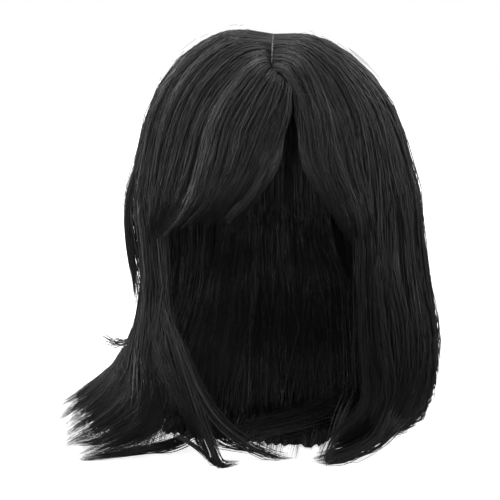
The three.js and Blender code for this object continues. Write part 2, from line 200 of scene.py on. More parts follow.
def follow(points, along):
    # place on each strand's curve; points is (strand, point, xyz), along one number for each strand
    count = points.shape[1]
    i = np.clip(np.floor(along).astype(int), 0, count - 2)
    w = (along - i)[:, None]
    first = 2 * points[:, :1] - points[:, 1:2]
    after = 2 * points[:, -1:] - points[:, -2:-1]
    padded = np.concatenate([first, points, after], 1)
    row = np.arange(len(points))
    a, b, c, d = (padded[row, i + k] for k in range(4))
    step = [np.maximum(np.sum((q - p) ** 2, -1, keepdims=True) ** 0.25, 1e-4)
            for p, q in ((a, b), (b, c), (c, d))]
    out = ((b - a) / step[0] - (c - a) / (step[0] + step[1]) + (c - b) / step[1]) * step[1]
    back = ((c - b) / step[1] - (d - b) / (step[1] + step[2]) + (d - c) / step[2]) * step[1]
    return b + w * (out + w * (3 * (c - b) - 2 * out - back + w * (2 * (b - c) + out + back)))


def hairFace(section, across, along):
    # outer face of a section at flat lists of places: point, direction out of it, and sideways
    last = len(section["form"]["thickness"]) - 1
    across = np.clip(across, 0, 1)
    onward, over = hairFall["alongStep"], hairFall["acrossStep"]
    here = strandPoints(section, across)
    right = strandPoints(section, np.clip(across + over, 0, 1))
    left = strandPoints(section, np.clip(across - over, 0, 1))
    at = np.clip(along, 0, last)
    point = follow(here, at)
    ahead, behind = (follow(here, np.clip(along + step, 0, last)) for step in (onward, -onward))
    way = unit(ahead - behind)
    sideways = unit(follow(right, at) - follow(left, at))
    radial = domeNormal(point)
    radial = unit(radial - way * np.sum(radial * way, -1, keepdims=True))
    # below the last level the face follows the strands instead of the head
    turned = np.clip((along - section["form"]["turnsFrom"]) / hairFall["turnLength"], 0, 1)[:, None]
    normal = unit(mix(radial, unit(np.cross(way, sideways)), turned))
    return point, normal, sideways


def evenRandom(seed):
    # the same numbers that place the locks in the part's own source
    full = 0xFFFFFFFF
    t = (seed + 0x6D2B79F5) & full
    t = ((t ^ (t >> 15)) * (t | 1)) & full
    t ^= (t + (((t ^ (t >> 7)) * (t | 61)) & full)) & full
    return ((t ^ (t >> 14)) & full) / 4294967296


def lockEdges(section):
    # where one lock of a section ends and the next begins
    edges = np.arange(section["locks"] + 1.0)
    for i in range(1, section["locks"]):
        edges[i] += (evenRandom(section["seed"] * 1000 + i) - 0.5) * hairFall["lockShift"]
    return edges / section["locks"]


def clearCap(p):
    # lifts what would sink into the cap
    middle = np.array([0, 0, capSize["equator"]])
    size = np.array([capSize["halfWidth"], capSize["halfLength"], capSize["rise"]]) + hairFall["clearance"]
    out = (p - middle) / size
    upper = out[..., 2] > 0
    reach = np.where(upper, np.linalg.norm(out, axis=-1), np.linalg.norm(out[..., :2], axis=-1))
    inside = (reach < 1) & (p[..., 2] > hairFall["capFrom"])
    grown = np.where(inside, 1 / np.maximum(reach, hairFall["deepest"]), 1)
    lifted = p.copy()
    lifted[..., :2] *= grown[..., None]
    lifted[..., 2] = np.where(upper, mix(middle[2], p[..., 2], grown), p[..., 2])
    return lifted


# Materials

def linear(code):
    shades = [int(code[i:i + 2], 16) / 255 for i in (1, 3, 5)]
    return tuple(s / 12.92 if s <= 0.04045 else ((s + 0.055) / 1.055) ** 2.4 for s in shades) + (1.0,)


def addNode(tree, kind, settings=None, links=None, values=None, stops=None):
    # links and values go to sockets by name or number; stops are the places and colours of a colour ramp
    node = tree.nodes.new(kind)
    for name, value in (settings or {}).items():
        setattr(node, name, value)
    for socket, value in (values or {}).items():
        node.inputs[socket].default_value = value
    for socket, source in (links or {}).items():
        tree.links.new(source, node.inputs[socket])
    if stops:
        elements = node.color_ramp.elements
        while len(elements) < len(stops):
            elements.new(0.5)
        for element, (place, code) in zip(elements, stops):
            element.position = place
            element.color = linear(code)
    return node


def newMaterial(name, values):
    # a material whose shader has these constants on its own sockets
    material = bpy.data.materials.new(name)
    material.use_nodes = True
    surface = material.node_tree.nodes["Principled BSDF"]
    for socket, value in values.items():
        surface.inputs[socket].default_value = value
    return material, material.node_tree, surface


hairLook = {
    # the lightest shade is lighter than black hair: a painted sheen on the strands of highest tone
    "shades": [(0.0, "#050506"), (0.5, "#0d0d0e"), (1.0, "#3e3d3e")],
    "roughness": (0.56, 0.27),  # of the darkest and of the lightest strands
    "ior": 1.55, "patchMm": 26, "patchShare": 0.5,
}


def blackHair():
    # Black human hair: smooth scaly fibres, so deep black with a soft sheen across the fall of the hair.
    # Single strands differ a little in shade and in gloss at random; the lightest shade is partly a painted
    # sheen, and strands darkened at the edges of sections carry painted shade.
    material, tree, surface = newMaterial("blackHumanHair", {"IOR": hairLook["ior"]})
    tone = addNode(tree, "ShaderNodeAttribute", {"attribute_name": "strandTone"}).outputs["Fac"]
    place = addNode(tree, "ShaderNodeTexCoord").outputs["Object"]
    patch = addNode(tree, "ShaderNodeTexNoise", links={"Vector": place},
                    values={"Scale": 1 / (hairLook["patchMm"] * mm), "Detail": 2.0}).outputs["Fac"]
    share = hairLook["patchShare"]
    mixed = addNode(tree, "ShaderNodeMath", {"operation": "MULTIPLY_ADD"}, {0: patch, 2: tone},
                    {1: share}).outputs[0]
    shade = addNode(tree, "ShaderNodeMath", {"operation": "SUBTRACT"}, {0: mixed}, {1: share / 2}).outputs[0]
    colour = addNode(tree, "ShaderNodeValToRGB", links={"Fac": shade}, stops=hairLook["shades"])
    darkest, lightest = hairLook["roughness"]
    gloss = addNode(tree, "ShaderNodeMapRange", links={"Value": shade},
                    values={"To Min": darkest, "To Max": lightest})
    tree.links.new(colour.outputs["Color"], surface.inputs["Base Color"])
    tree.links.new(gloss.outputs["Result"], surface.inputs["Roughness"])
    return material


hair = blackHair()
print("hair material ready")


# Strand meshes

strandMap = {"tall": 4, "sideMargin": 0.1, "endMargin": 0.03}
strandCut = 1
strandGain = 1


def flatMap(count, rings, triangles):
    # lays strands out flat: one upright strip for each, side by side in tiers
    strips = math.ceil(math.sqrt(count * strandMap["tall"]))
    tiers = math.ceil(count / strips)
    wide = np.append(np.tile([0.0, 1.0, 2.0], rings - 1), 1.5)[triangles]
    wraps = (wide.max(1) - wide.min(1) > 1.5)[:, None] & (wide < 0.5)
    wide = np.where(wraps, 3.0, wide) / 3
    high = (triangles // 3) / (rings - 1)
    x = mix(strandMap["sideMargin"], 1 - strandMap["sideMargin"], wide).ravel()
    y = mix(strandMap["endMargin"], 1 - strandMap["endMargin"], high).ravel()
    strand = np.arange(count)[:, None]
    return np.stack([(strand % strips + x) / strips, (strand // strips + y) / tiers], -1)


def strandMesh(name, paths, normals, radius, tone):
    # joins strands into one mesh of closed, tapered, three-sided tubes; paths is (strand, point, xyz) in mm
    count, rings = paths.shape[:2]
    way = unit(np.gradient(paths, axis=1))
    across = unit(np.cross(way, normals))
    upright = np.cross(across, way)
    turn = np.radians([90, 210, 330])[:, None]
    ringShape = np.cos(turn) * across[:, :, None] + np.sin(turn) * upright[:, :, None]
    corners = paths[:, :-1, None] + ringShape[:, :-1] * radius[:, :-1, None, None]
    verts = np.concatenate([corners.reshape(count, -1, 3), paths[:, -1:]], 1)
    each = verts.shape[1]
    # faces of one strand: its sides, its tip and its root
    row = np.arange(rings - 2)[:, None] * 3
    side = np.arange(3)
    nextSide = (side + 1) % 3
    quads = np.stack([row + side, row + nextSide, row + 3 + nextSide, row + 3 + side], -1).reshape(-1, 4)
    end = (rings - 2) * 3
    tip = np.stack([end + side, end + nextSide, np.full(3, each - 1)], -1)
    root = np.array([[2, 1, 0]])
    triangles = np.concatenate([quads[:, [0, 1, 2]], quads[:, [0, 2, 3]], tip, root])
    faces = (triangles + (np.arange(count) * each)[:, None, None]).reshape(-1, 3)
    mesh = bpy.data.meshes.new(name)
    mesh.vertices.add(count * each)
    mesh.vertices.foreach_set("co", (verts.reshape(-1, 3) * mm + headSpot).ravel())
    mesh.loops.add(faces.size)
    mesh.loops.foreach_set("vertex_index", faces.ravel().astype(np.int32))
    mesh.polygons.add(len(faces))
    mesh.polygons.foreach_set("loop_start", np.arange(0, faces.size, 3, dtype=np.int32))
    mesh.polygons.foreach_set("use_smooth", np.ones(len(faces), bool))
    mesh.update(calc_edges=True)
    layer = mesh.uv_layers.new(name="OFBake")
    layer.data.foreach_set("uv", flatMap(count, rings, triangles).ravel())
    shade = mesh.attributes.new("strandTone", "FLOAT", "POINT")
    shade.data.foreach_set("value", np.repeat(tone, each).astype(np.float32))
    mesh.materials.append(hair)
    mesh.validate()
    piece = bpy.data.objects.new(name, mesh)
    bpy.context.collection.objects.link(piece)
    print(name, count, "strands", len(faces), "triangles")
    return piece


# Strands of the sections. Each is thicker than one hair, so that it shows, and stands for a few of them.

sideRows = [0, 0.3, 0.75, 1.25, 1.85, 2.55, 3.3, 4.2, 5.4, 7, 8.5, 9.5, 10.2, 11]
backRows = [0, 0.4, 0.9, 1.5, 2.2, 3, 4, 5.4, 7.2, 9, 9.7, 10, 10.5, 11.1, 11.5, 12]
fringeRows = [0, 0.4, 0.85, 1.35, 1.9, 2.5, 3.1, 3.7, 4.4, 5, 5.5, 6]
# Roll, thin and shade: how far a section bends in, thins and darkens at its two edges, and over what width;
# the darkening is painted shade for edges that turn in beside the shadowed inside.
# Strands gather in streaks all the way and in tips at the end. A throw parts the tips, and a sweep lets
# streaks swing. A frontWeight over 1 puts more strands near the outer face. Rows from evenFrom on lie level.
sideHair = {
    "bands": 40, "frontWeight": 1.5, "rows": sideRows, "evenFrom": math.inf, "stray": 0.03, "strayReach": 4.0,
    "roll": (0, 0, 0.1), "thin": (0, 0, 0.1), "shade": (0, 0, 0.1), "curl": (0, 0), "relief": 1.2,
    "sweep": 1.6, "wave": 0.6, "taperFrom": 0.84, "streakPull": 0.28, "throw": 3.5, "throwFrom": 0.75,
    "tipLift": 2.0, "rootShift": ((1.5, 0, -3), (1.5, 0, -3)), "radius": (0.2, 0.36),
}
fringeHair = {
    **sideHair, "parts": ("",), "frontWeight": 1.3, "rows": fringeRows, "strayReach": 2.5, "relief": 0.7,
    "sweep": 1.0, "wave": 0.45, "taperFrom": 0.7, "streakPull": 0.22, "tipFrom": (0.6, 0.85),
    "throwFrom": 0.6, "tipLift": 0, "radius": (0.18, 0.32),
}
hairAmounts = {
    "hair_left": {
        **sideHair, "parts": ("_rear", "_front"), "strands": 2850, "streaks": 230, "tips": 46,
        "shade": (0, 0.7, 0.2), "tipShorter": 0.35, "shorter": 0.4, "tipPull": 0.9, "tipFrom": (0.87, 0.95),
        "throwFrom": 0.82, "tipLift": 2.5,
    },
    "front_lock": {
        **sideHair, "parts": ("",), "strands": 420, "bands": 6, "streaks": 24, "tips": 5, "frontWeight": 1.2,
        "stray": 0.05, "strayReach": 3.0, "roll": (0, 2, 0.6), "thin": (0, 0.85, 0.6),
        "shade": (0.6, 0.9, 0.7), "relief": 0.7, "sweep": 1.0, "tipShorter": 0.1, "shorter": 0.5,
        "streakPull": 0.4, "tipPull": 0.7, "tipFrom": (0.75, 0.9), "throw": 2.5, "tipLift": 1.0,
    },
    "hair_right": {
        **sideHair, "parts": ("_front", "_rear"), "strands": 2700, "streaks": 220, "tips": 40,
        "roll": (8, 0, 0.2), "thin": (0.8, 0, 0.2), "shade": (0.9, 0, 0.4), "tipShorter": 0.25,
        "shorter": 0.3, "tipPull": 0.65, "tipFrom": (0.85, 0.95), "rootShift": ((-1.5, 0, -3), (-1.5, 0, -3)),
    },
    "hair_back": {
        **sideHair, "parts": ("_right", "_left"), "strands": 1560, "bands": 30, "streaks": 130, "tips": 80,
        "frontWeight": 0.7, "rows": backRows, "evenFrom": 9, "stray": 0.05, "strayReach": 6.0, "relief": 0.8,
        "sweep": 1.0, "wave": 0.8, "tipShorter": 0.5, "shorter": 0.2, "taperFrom": 0.94, "streakPull": 0.3,
        "tipPull": 0.4, "tipFrom": (0.88, 0.97), "throw": 4.0, "throwFrom": 0.85,
        "rootShift": ((0, 0, -1.5), (0, 0, -1.5)), "radius": (0.22, 0.4),
    },
    "fringe_left": {
        **fringeHair, "strands": 1400, "bands": 22, "streaks": 100, "tips": 20, "roll": (0, 5, 0.25),
        "thin": (0, 0.5, 0.3), "shade": (0.1, 0.85, 0.45), "curl": (0, 8), "tipShorter": 0.5, "shorter": 1.0,
        "tipPull": 0.7, "throw": 2.6, "rootShift": ((1.5, 0, -3), (3.6, 3.6, -1.6)),
    },
    "fringe_right": {
        **fringeHair, "strands": 1000, "bands": 16, "streaks": 70, "tips": 14, "roll": (5, 0, 0.35),
        "thin": (0.5, 0, 0.3), "shade": (0.85, 0.6, 0.6), "curl": (4, 0), "tipShorter": 0.3, "shorter": 0.6,
        "tipPull": 0.6, "throw": 2.0, "rootShift": ((-0.7, -1.2, -1.6), (-1.5, 0, -3)),
    },
}
# What all strands have in common; pairs named From are the shares of the length over which something sets in
strandHabit = {
    "groupBlur": 0.35, "groupCentre": (0.2, 0.8), "rowShift": 0.45, "swellEnds": (0.15, 0.3),
    "streakFrom": (0.02, 0.3), "tipBy": 1.02, "depthHold": 0.6, "strayHold": 0.3, "strayThin": 0.6,
    "rollFrom": (0.2, 0.55), "curlFrom": 0.72,
    "waveFrom": (0.02, 0.6), "waveBeats": (0.8, 2.6), "secondWave": 0.5, "waveOut": 0.6,
    "throwBlur": 0.35, "throwOut": 0.5, "reliefFrom": (0.03, 0.2), "reliefFade": 0.5, "bandLift": 1.1,
    "sweepFrom": (0.05, 0.4), "sweepBeats": (1.0, 3.4), "sweepOut": 0.7, "sweepAside": 1.3, "asideBeat": 0.8,
    "rootLength": 0.05, "rootMix": (0.52, 0.72), "rootSpread": 0.35,
    "tableGap": 0.35, "tablePile": 1.5, "tableFlat": 0.8, "rootThin": 0.75, "rootTaper": 0.1, "tipThin": 0.25,
}
toneSet = {"middle": 0.36, "band": 0.24, "streak": 0.3, "tip": 0.08, "strand": 0.3}
rootRng = np.random.default_rng(7)


def atEdges(amount, place):
    # a value that is given at the two edges of a section and fades within a width from them
    start, end, width = amount
    return start * (1 - smooth(0, width, place)) + end * smooth(1 - width, 1, place)


def inwardRoll(amounts, place, share):
    # how far a strand lies inside the outer face: edges of a section roll in, and ends may curl in
    roll = atEdges(amounts["roll"], place) * smooth(*strandHabit["rollFrom"], share)
    return roll + mix(*amounts["curl"], place) * smooth(strandHabit["curlFrom"], 1, share) ** 2


def sheetThickness(section, along):
    thickness = section["form"]["thickness"]
    return np.interp(along, np.arange(len(thickness)), thickness)


def strandGroups(place, count):
    # gathers strands in groups, each with its own centre, depth, tone and motion
    blurred = place + rng.normal(0, strandHabit["groupBlur"] / count, place.shape)
    member = np.clip((blurred * count).astype(int), 0, count - 1)[:, 0]
    one = (count, 1)
    group = {
        "centre": (np.arange(count)[:, None] + rng.uniform(*strandHabit["groupCentre"], one)) / count,
        "depth": rng.uniform(0, 1, one),
        "tone": rng.normal(0, 1, one),
        "from": rng.uniform(0, 1, one),
        "throw": rng.normal(0, 1, (count, 3)),
        "short": rng.uniform(0, 1, one),
        "lift": rng.normal(0, 1, one),
        "beat": rng.uniform(*strandHabit["sweepBeats"], one),
        "phase": rng.uniform(0, 2 * math.pi, one),
    }
    return {key: value[member] for key, value in group.items()}


def strandRows(amounts, last, shorter):
    # where each strand has its points along the guides, and what share of its length that is;
    # rows differ from strand to strand, so that their corners don't line up
    rows = np.array(amounts["rows"], float)
    phase = rng.uniform(-strandHabit["rowShift"], strandHabit["rowShift"], shorter.shape)
    gaps = np.diff(rows)
    step = np.where(phase > 0, np.append(gaps, 0), np.append(0, gaps))
    moved = rows + phase * step * (rows < amounts["evenFrom"])
    moved[:, 0] = rows[0]
    moved[:, -1] = rows[-1]
    fixed = amounts["evenFrom"] if amounts["evenFrom"] < last else 0
    cut = (last - shorter - fixed) / (last - fixed)
    return np.minimum(moved, fixed) + cut * np.maximum(moved - fixed, 0), moved / last


def sectionStrands(name, amounts):
    # strands of one section: paths, normals, radius, tone, and place across as a column
    section = sections[name]
    habit = strandHabit
    last = len(section["form"]["thickness"]) - 1
    total = amounts["strands"] // strandCut
    # every strand has its own place across and depth in the sheet, and belongs to a streak and a tip
    place = (np.arange(total)[:, None] + rng.uniform(0, 1, (total, 1))) / total
    depth = rng.uniform(0, 1, (total, 1)) ** amounts["frontWeight"]
    stray = rng.uniform(0, 1, (total, 1)) < amounts["stray"]
    streak = strandGroups(place, amounts["streaks"])
    tip = strandGroups(place, amounts["tips"])
    knots = np.linspace(0, 1, amounts["bands"])
    bandTone, bandLift = (np.interp(place, knots, rng.normal(0, 1, len(knots))) for _ in range(2))
    shorter = amounts["tipShorter"] * tip["short"] + amounts["shorter"] * rng.uniform(0, 1, (total, 1)) ** 3
    along, share = strandRows(amounts, last, shorter)
    # streaks and tips draw their strands together
    tipPull = amounts["tipPull"] * smooth(mix(*amounts["tipFrom"], tip["from"]), habit["tipBy"], share)
    streakPull = amounts["streakPull"] * smooth(*habit["streakFrom"], share)
    tipPull, streakPull = (np.where(stray, pull * habit["strayHold"], pull) for pull in (tipPull, streakPull))
    nowPlace = mix(mix(place, streak["centre"], streakPull), tip["centre"], tipPull)
    nowDepth = mix(mix(depth, streak["depth"], streakPull * habit["depthHold"]), tip["depth"], tipPull)
    nowDepth = nowDepth * (1 - atEdges(amounts["thin"], nowPlace))
    face = hairFace(section, nowPlace.ravel(), along.ravel())
    point, normal, sideways = (v.reshape(*along.shape, 3) for v in face)
    point[..., 2] = np.maximum(point[..., 2], 0)
    # locks swell as in the solid, and deeper strands lie further in
    rootEnd, tipEnd = habit["swellEnds"]
    swell = hairFall["swell"] * np.clip(along, rootEnd, 1) * np.clip(last - along, tipEnd, 1)
    edges = lockEdges(section)
    lock = np.clip(np.searchsorted(edges, nowPlace) - 1, 0, section["locks"] - 1)
    inLock = (nowPlace - edges[lock]) / (edges[lock + 1] - edges[lock])
    out = swell * (1 - (2 * inLock - 1) ** 2) * (1 - nowDepth) - nowDepth * sheetThickness(section, along)
    out -= inwardRoll(amounts, nowPlace, along / last)
    # slow waves, and tips that part company
    turns = rng.uniform(0, 2 * math.pi, (total, 4))
    beat = rng.uniform(*habit["waveBeats"], (total, 4))
    wave = [np.sin(2 * math.pi * beat[:, k:k + 1] * share + turns[:, k:k + 1]) for k in range(4)]
    loose = smooth(*habit["waveFrom"], share) * np.where(stray, amounts["strayReach"], amounts["wave"])
    throw = smooth(amounts["throwFrom"], 1, share)
    push = tip["throw"] + habit["throwBlur"] * rng.normal(0, 1, (total, 3))
    sideShift = loose * (wave[0] + habit["secondWave"] * wave[1]) + throw * push[:, :1] * amounts["throw"]
    outShift = loose * habit["waveOut"] * (wave[2] + habit["secondWave"] * wave[3])
    outShift += throw * push[:, 1:2] * amounts["throw"] * habit["throwOut"]
    # streaks stand at different heights and swing as they fall
    ridge = amounts["relief"] * (streak["lift"] + habit["bandLift"] * bandLift - 1)
    outShift += ridge * smooth(*habit["reliefFrom"], share) * (1 - habit["reliefFade"] * share)
    swing = 2 * math.pi * streak["beat"] * share + streak["phase"]
    swept = amounts["sweep"] * smooth(*habit["sweepFrom"], share)
    outShift += habit["sweepOut"] * swept * (np.sin(swing) - 1)
    sideShift += habit["sweepAside"] * swept * np.cos(habit["asideBeat"] * swing + streak["lift"])
    path = point + normal * (out + outShift)[..., None] + sideways * sideShift[..., None]
    path[..., 2] += throw * np.abs(push[:, 2:]) * amounts["tipLift"]
    path = clearCap(path)
    # roots meet at the parting, and ends rest on the table
    atRoot = 1 - smooth(0, habit["rootLength"], share)
    shift = mix(*np.array(amounts["rootShift"], float)[:, None], smooth(*habit["rootMix"], place))
    path += atRoot[..., None] * shift[:, None]
    lean = hairFall["partLean"] * (path[..., 1] - hairFall["leanFrom"])
    path[..., 0] += atRoot * (lean + rootRng.normal(0, habit["rootSpread"], (total, 1)))
    pile = habit["tablePile"] * rng.uniform(0, 1, (total, 1)) * (1 - habit["tableFlat"] * share)
    path[..., 2] = np.maximum(path[..., 2], habit["tableGap"] + pile)
    thin = rng.uniform(*amounts["radius"], (total, 1)) * np.where(stray, habit["strayThin"], 1) * strandGain
    taper = mix(habit["rootThin"], 1, smooth(0, habit["rootTaper"], share))
    taper -= (1 - habit["tipThin"]) * smooth(amounts["taperFrom"], 1, share)
    tone = toneSet["middle"] + toneSet["band"] * bandTone + toneSet["streak"] * streak["tone"]
    tone += toneSet["tip"] * tip["tone"] + rng.normal(0, toneSet["strand"], (total, 1))
    # painted shade: strands near the edges of a section are darkened by its shade amounts
    tone = np.clip(tone - atEdges(amounts["shade"], place), 0, 1)
    return path, normal, thin * taper, tone, place


def addHair(piece, node):
    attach(piece, "root")
    if node:
        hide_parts(node)


for name, amounts in hairAmounts.items():
    path, normal, radius, tone, place = sectionStrands(name, amounts)
    order = np.argsort(place[:, 0], kind="stable")
    parts = amounts["parts"]
    for part, chosen in zip(parts, np.array_split(order, len(parts))):
        strands = (v[chosen] for v in (path, normal, radius, tone))
        addHair(strandMesh(name + part + "_strands", *strands), name)


# Dense hair between the faces of each section, which keeps light from shining through

sheetSet = {
    "columns": 60, "rows": 34, "from": 0.3, "margin": 0.006, "ridge": 0.5, "closeFrom": 0.85, "close": 0.9,
    "faceGap": 0.3, "tableGap": 0.4, "tone": (0.35, 0.2),
}
denseSheets = {
    "hair_left": {"reach": 10.6, "ragged": 0.4, "edgeShort": (0, 0.7, 0.15), "depths": (0.45, 0.8)},
    "hair_right": {"reach": 10.95, "ragged": 0.25, "edgeShort": (0.15, 0, 0.1), "depths": (0.45, 0.8)},
    "hair_back": {"reach": 11.72, "ragged": 0.05, "edgeShort": (0, 0, 0.1), "depths": (0.3, 0.7)},
    "fringe_left": {"reach": 4.3, "ragged": 0.4, "edgeShort": (0.6, 0, 0.3), "depths": (0.45, 0.8)},
    "fringe_right": {"reach": 4.9, "ragged": 0.4, "edgeShort": (0, 0.4, 0.3), "depths": (0.45, 0.8)},
    "front_lock": {"reach": 10.3, "ragged": 0.4, "edgeShort": (0, 0, 0.1), "depths": (0.45, 0.8)},
}


def denseHair(name, sheet):
    section, amounts = sections[name], hairAmounts[name]
    columns, rows = sheetSet["columns"], sheetSet["rows"]
    place = np.linspace(sheetSet["margin"], 1 - sheetSet["margin"], columns)
    ends = sheet["reach"] - sheet["ragged"] * rng.uniform(0, 1, columns) - atEdges(sheet["edgeShort"], place)
    share = np.linspace(0, 1, rows)
    along = mix(sheetSet["from"], ends[:, None], share)
    across = np.repeat(place[:, None], rows, 1)
    point, normal, _ = hairFace(section, across.ravel(), along.ravel())
    point[:, 2] = np.maximum(point[:, 2], sheetSet["faceGap"])
    ridge = sheetSet["ridge"] * rng.normal(0, 1, columns)[:, None]
    middle = sum(sheet["depths"]) / 2
    roll = inwardRoll(amounts, across, along / (len(section["form"]["thickness"]) - 1))
    faces = []
    for depth in sheet["depths"]:
        closing = mix(depth, middle, smooth(sheetSet["closeFrom"], 1, share) * sheetSet["close"])
        inset = (closing * sheetThickness(section, along) - ridge) * (1 - atEdges(amounts["thin"], across))
        shell = clearCap(point - normal * (inset + roll).reshape(-1, 1))
        shell[:, 2] = np.maximum(shell[:, 2], sheetSet["tableGap"])
        faces.append(shell)
    number = np.arange(columns * rows).reshape(columns, rows)
    outer = np.stack([number[:-1, :-1], number[:-1, 1:], number[1:, 1:], number[1:, :-1]], -1).reshape(-1, 4)
    inner = outer[:, ::-1] + columns * rows
    loop = np.concatenate([number[0], number[1:, -1], number[-1, -2::-1], number[-2:0:-1, 0]])
    after = np.roll(loop, -1)
    border = np.stack([loop, loop + columns * rows, after + columns * rows, after], -1)
    quads = np.concatenate([outer, inner, border])
    mesh = bpy.data.meshes.new(name + "_dense")
    mesh.from_pydata((np.concatenate(faces) * mm + headSpot).tolist(), [], quads.tolist())
    mesh.update(calc_edges=True)
    mesh.polygons.foreach_set("use_smooth", np.ones(len(quads), bool))
    # painted shade: columns near the edges of a section are darkened as the strands are
    shade = rng.normal(*sheetSet["tone"], columns) - atEdges(amounts["shade"], place)
    shade = np.repeat(np.clip(shade, 0, 1), rows)
    tone = mesh.attributes.new("strandTone", "FLOAT", "POINT")
    tone.data.foreach_set("value", np.tile(shade, 2).astype(np.float32))
    mesh.materials.append(hair)
    piece = bpy.data.objects.new(name + "_dense", mesh)
    bpy.context.collection.objects.link(piece)
    bpy.ops.object.select_all(action="DESELECT")
    piece.select_set(True)
    bpy.context.view_layer.objects.active = piece
    bpy.ops.object.mode_set(mode="EDIT")
    bpy.ops.mesh.select_all(action="SELECT")
    bpy.ops.mesh.normals_make_consistent(inside=False)
    bpy.ops.object.mode_set(mode="OBJECT")
    return piece


for name, sheet in denseSheets.items():
    addHair(denseHair(name, sheet), name)
print("dense hair laid")


# Loose strands: points that a bundle passes through, how many strands, spread along it, and radius.
# A bundle with a second line of points fills the width between the two.

# painted shade: bundles in the shadowed curl and along the inner edge take these darkest tones
paintedShadeTone = (0.12, 0.12)
looseSet = {
    "edge_left": {
        "points": [(-84, -20, 232), (-95, -22, 206), (-102, -24, 180), (-102, -24, 152), (-97, -24, 124),
                   (-93, -26, 100)],
        "count": 70, "spread": (3, 2.4, 2.4, 4), "radius": (0.14, 0.26)},
    "edge_left_rear": {
        "points": [(-82, 14, 236), (-94, 16, 208), (-102, 18, 182), (-102, 18, 152), (-97, 16, 126),
                   (-96, 14, 98)],
        "count": 60, "spread": (3, 2.6, 2.6, 4), "radius": (0.14, 0.26)},
    "edge_right": {
        "points": [(101, 4, 180), (108, 6, 150), (113, 6, 120), (119, 6, 92), (121, 4, 66), (115, 0, 40)],
        "count": 40, "spread": (3, 3, 3, 4), "radius": (0.12, 0.22)},
    "crossing_wisp": {
        "points": [(-70, -66, 104), (-60, -66, 74), (-44, -64, 40), (-20, -58, 15), (0, -51, 4),
                   (15, -45, 0.8)],
        "count": 46, "spread": (2, 4, 5, 4), "radius": (0.2, 0.34)},
    "folded_lock": {
        "points": [(-74, -64, 112), (-66, -66, 84), (-56, -68, 52), (-46, -68, 22), (-38, -68, 2.5),
                   (-34, -66, 0.8), (-22, -60, 1.2)],
        "count": 60, "spread": (3, 5, 4, 2), "radius": (0.2, 0.34)},
    "folded_lock_back": {
        "points": [(-38, -68, 1), (-43, -66, 4), (-53, -62, 12), (-64, -58, 18), (-74, -54, 22)],
        "count": 24, "spread": (1, 1.5, 2, 2), "radius": (0.18, 0.3)},
    "tuft": {
        "points": [(-98, 48, 76), (-106, 52, 64), (-116, 55, 61), (-131, 58, 68)],
        "count": 44, "spread": (1.5, 3, 4, 6), "radius": (0.14, 0.24)},
    "flare_lock_mid": {
        "points": [(-80, -20, 30), (-98, -10, 14), (-120, -8, 5), (-147, -14, 1.5)],
        "count": 50, "spread": (4, 4, 3, 3), "radius": (0.2, 0.34)},
    "flare_lock_low": {
        "points": [(-56, -40, 16), (-72, -33, 7), (-90, -33, 3), (-113, -41, 1.8), (-140, -54, 0.8)],
        "count": 60, "spread": (4, 4, 3, 3, 3), "radius": (0.2, 0.34)},
    "front_wisps": {
        "points": [(-50, -2, 14), (-38, -12, 5), (-24, -22, 2), (-6, -34, 1)],
        "count": 40, "spread": (4, 5, 5, 5), "radius": (0.18, 0.3)},
    "right_tips": {
        "points": [(84, -50, 40), (74, -54, 18), (58, -58, 7), (44, -60, 2), (32, -62, 1)],
        "count": 50, "spread": (4, 5, 4, 3), "radius": (0.18, 0.32), "tone": paintedShadeTone},
    "right_fill": {
        "points": [(90, -42, 30), (74, -46, 14), (58, -50, 8), (42, -54, 5), (30, -58, 3)],
        "count": 90, "spread": (5, 5, 5, 5), "radius": (0.2, 0.36), "tone": paintedShadeTone},
    "low_wisps": {
        "points": [(62, 38, 7), (50, 37, 2.5), (37, 31, 1.2), (24, 22, 0.8)],
        "count": 26, "spread": (2, 4, 5, 5), "radius": (0.2, 0.32)},
    "end_lock": {
        "points": [(58, -46, 52), (47, -56, 30), (42, -61, 15), (38, -64, 6), (40, -69, 0.6)],
        "count": 24, "spread": (4, 3, 2.5, 3.5), "radius": (0.2, 0.34), "tone": paintedShadeTone},
    # painted light: these strands lying on the table take light tones so they look lit where little light
    # reaches them
    "table_sweep": {
        "points": [(58, 62, 34), (42, 52, 19), (18, 38, 11), (-8, 22, 9), (-30, 8, 7)],
        "other": [(70, 40, 22), (52, 22, 13), (24, 4, 9), (-2, -12, 7), (-20, -24, 4)],
        "count": 150, "spread": (6, 6, 5, 5), "radius": (0.18, 0.3), "tone": (0.85, 0.2)},
    "right_curtain": {
        "points": [(50, -94, 202), (57, -87, 170), (58, -80, 130), (60, -73, 92), (62, -66, 56),
                   (58, -66, 24)],
        "other": [(64, -85, 200), (69, -80, 165), (72, -74, 124), (76, -68, 88), (80, -62, 54),
                  (70, -62, 24)],
        "count": 170, "spread": (2, 4, 5.5, 6), "radius": (0.14, 0.26), "late": 0.5, "early": 0.7,
        "tone": paintedShadeTone},
    "bang_curl": {
        "points": [(-6, -102, 214), (-16, -104, 196), (-27, -103, 184), (-31, -103, 180), (-29, -106, 183),
                   (-24, -107, 190), (-21, -106, 194)],
        "count": 40, "spread": (2, 2, 2, 1.5), "radius": (0.18, 0.3)},
}
looseHabit = {
    "rings": 12, "late": 0.12, "early": 0.22, "tone": (0.4, 0.2), "offset": 0.55, "crossing": 0.25,
    "taperFrom": 0.7, "tipThin": 0.2, "tableGap": 0.4, "facing": (0.0, -1.0, 0.2),
}


